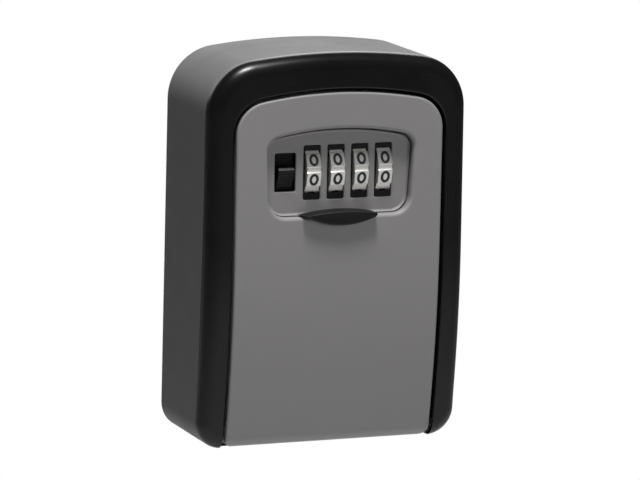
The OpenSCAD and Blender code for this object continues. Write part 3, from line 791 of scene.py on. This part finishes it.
def make_camera():
    """Long lens from the left and a little above, fitted to the outline in the photograph."""
    azimuth, elevation, roll = math.radians(21.43), math.radians(10.3), math.radians(1.18)
    forward = Vector((math.sin(azimuth) * math.cos(elevation), math.cos(azimuth) * math.cos(elevation),
                      -math.sin(elevation)))
    right = Vector((math.cos(azimuth), -math.sin(azimuth), 0))
    up = right.cross(forward)
    turned = right * math.cos(roll) + up * math.sin(roll)
    upright = up * math.cos(roll) - right * math.sin(roll)
    distance, across, down = 1396.4, 8.829, 3.72         # from the origin, in millimetres
    place = (-forward * distance + turned * across - upright * down) * MM
    data = bpy.data.cameras.new("camera")
    data.sensor_width, data.lens = 36, 253.125
    data.clip_start, data.clip_end = 0.05, 50
    camera = bpy.data.objects.new("camera", data)
    axes = Matrix((turned, upright, -forward)).transposed().to_4x4()
    camera.matrix_world = Matrix.Translation(place) @ axes
    bpy.context.scene.collection.objects.link(camera)
    bpy.context.scene.camera = camera


def area_light(name, place, target, size, power, glossy=True):
    data = bpy.data.lights.new(name, "AREA")
    data.shape, data.size, data.size_y, data.energy = "RECTANGLE", size[0], size[1], power
    light = bpy.data.objects.new(name, data)
    light.location = place
    light.visible_glossy = glossy                        # False: it lights but leaves no reflection
    light.rotation_euler = (Vector(target) - Vector(place)).to_track_quat("-Z", "Y").to_euler()
    bpy.context.scene.collection.objects.link(light)


def bright_for_camera(tree, output, seen, lit):
    """White where the camera looks straight at it, and a plain surface for all other light."""
    nodes, links = tree.nodes, tree.links
    path, mix = nodes.new("ShaderNodeLightPath"), nodes.new("ShaderNodeMixShader")
    links.new(path.outputs["Is Camera Ray"], mix.inputs[0])
    links.new(lit, mix.inputs[1])
    links.new(seen, mix.inputs[2])
    links.new(mix.outputs[0], output)


def make_studio():
    scene = bpy.context.scene
    scene.view_settings.view_transform = "Standard"
    world = bpy.data.worlds.new("studio")
    world.use_nodes = True
    scene.world = world
    nodes = world.node_tree.nodes
    low = nodes["Background"]
    low.inputs["Color"].default_value = (1, 1, 1, 1)
    low.inputs["Strength"].default_value = 0.045
    high = nodes.new("ShaderNodeBackground")
    high.inputs["Color"].default_value = (1, 1, 1, 1)
    surface = nodes["World Output"].inputs["Surface"]
    bright_for_camera(world.node_tree, surface, high.outputs[0], low.outputs[0])

    reach, floor_z = 4.0, BASE * MM - 0.25               # the box hangs on a wall, well above the floor
    mesh = bpy.data.meshes.new("floor")
    corners = [(reach * x, reach * y, floor_z) for x, y in ((-1, -1), (1, -1), (1, 1), (-1, 1))]
    mesh.from_pydata(corners, [], [(0, 1, 2, 3)])
    floor = bpy.data.objects.new("floor", mesh)
    scene.collection.objects.link(floor)
    pale = bpy.data.materials.new("pale_floor")
    pale.use_nodes = True
    nodes = pale.node_tree.nodes
    diffuse = nodes["Principled BSDF"]
    diffuse.inputs["Base Color"].default_value = (0.8, 0.8, 0.8, 1)
    diffuse.inputs["Roughness"].default_value = 0.9
    glow = nodes.new("ShaderNodeEmission")
    bright_for_camera(pale.node_tree, nodes["Material Output"].inputs["Surface"], glow.outputs[0],
                      diffuse.outputs[0])
    mesh.materials.append(pale)

    area_light("key", (-0.07, -0.24, 0.9), (0, -0.03, 0), (0.24, 0.2), 13.2)
    area_light("front", (0.4, -1.3, 0.45), (0, -0.03, 0), (0.6, 0.6), 4.3, False)
    area_light("back", (0.05, 0.95, 0.42), (0, 0, 0.05), (1.3, 0.6), 4.6)


finish_cad()
make_bezel()
make_cover()
make_panel()
make_painted_window_shade()
make_pull()
make_button()
for dial in range(4):
    make_wheel(dial)
    make_digits(dial)
make_spring()
make_camera()
make_studio()
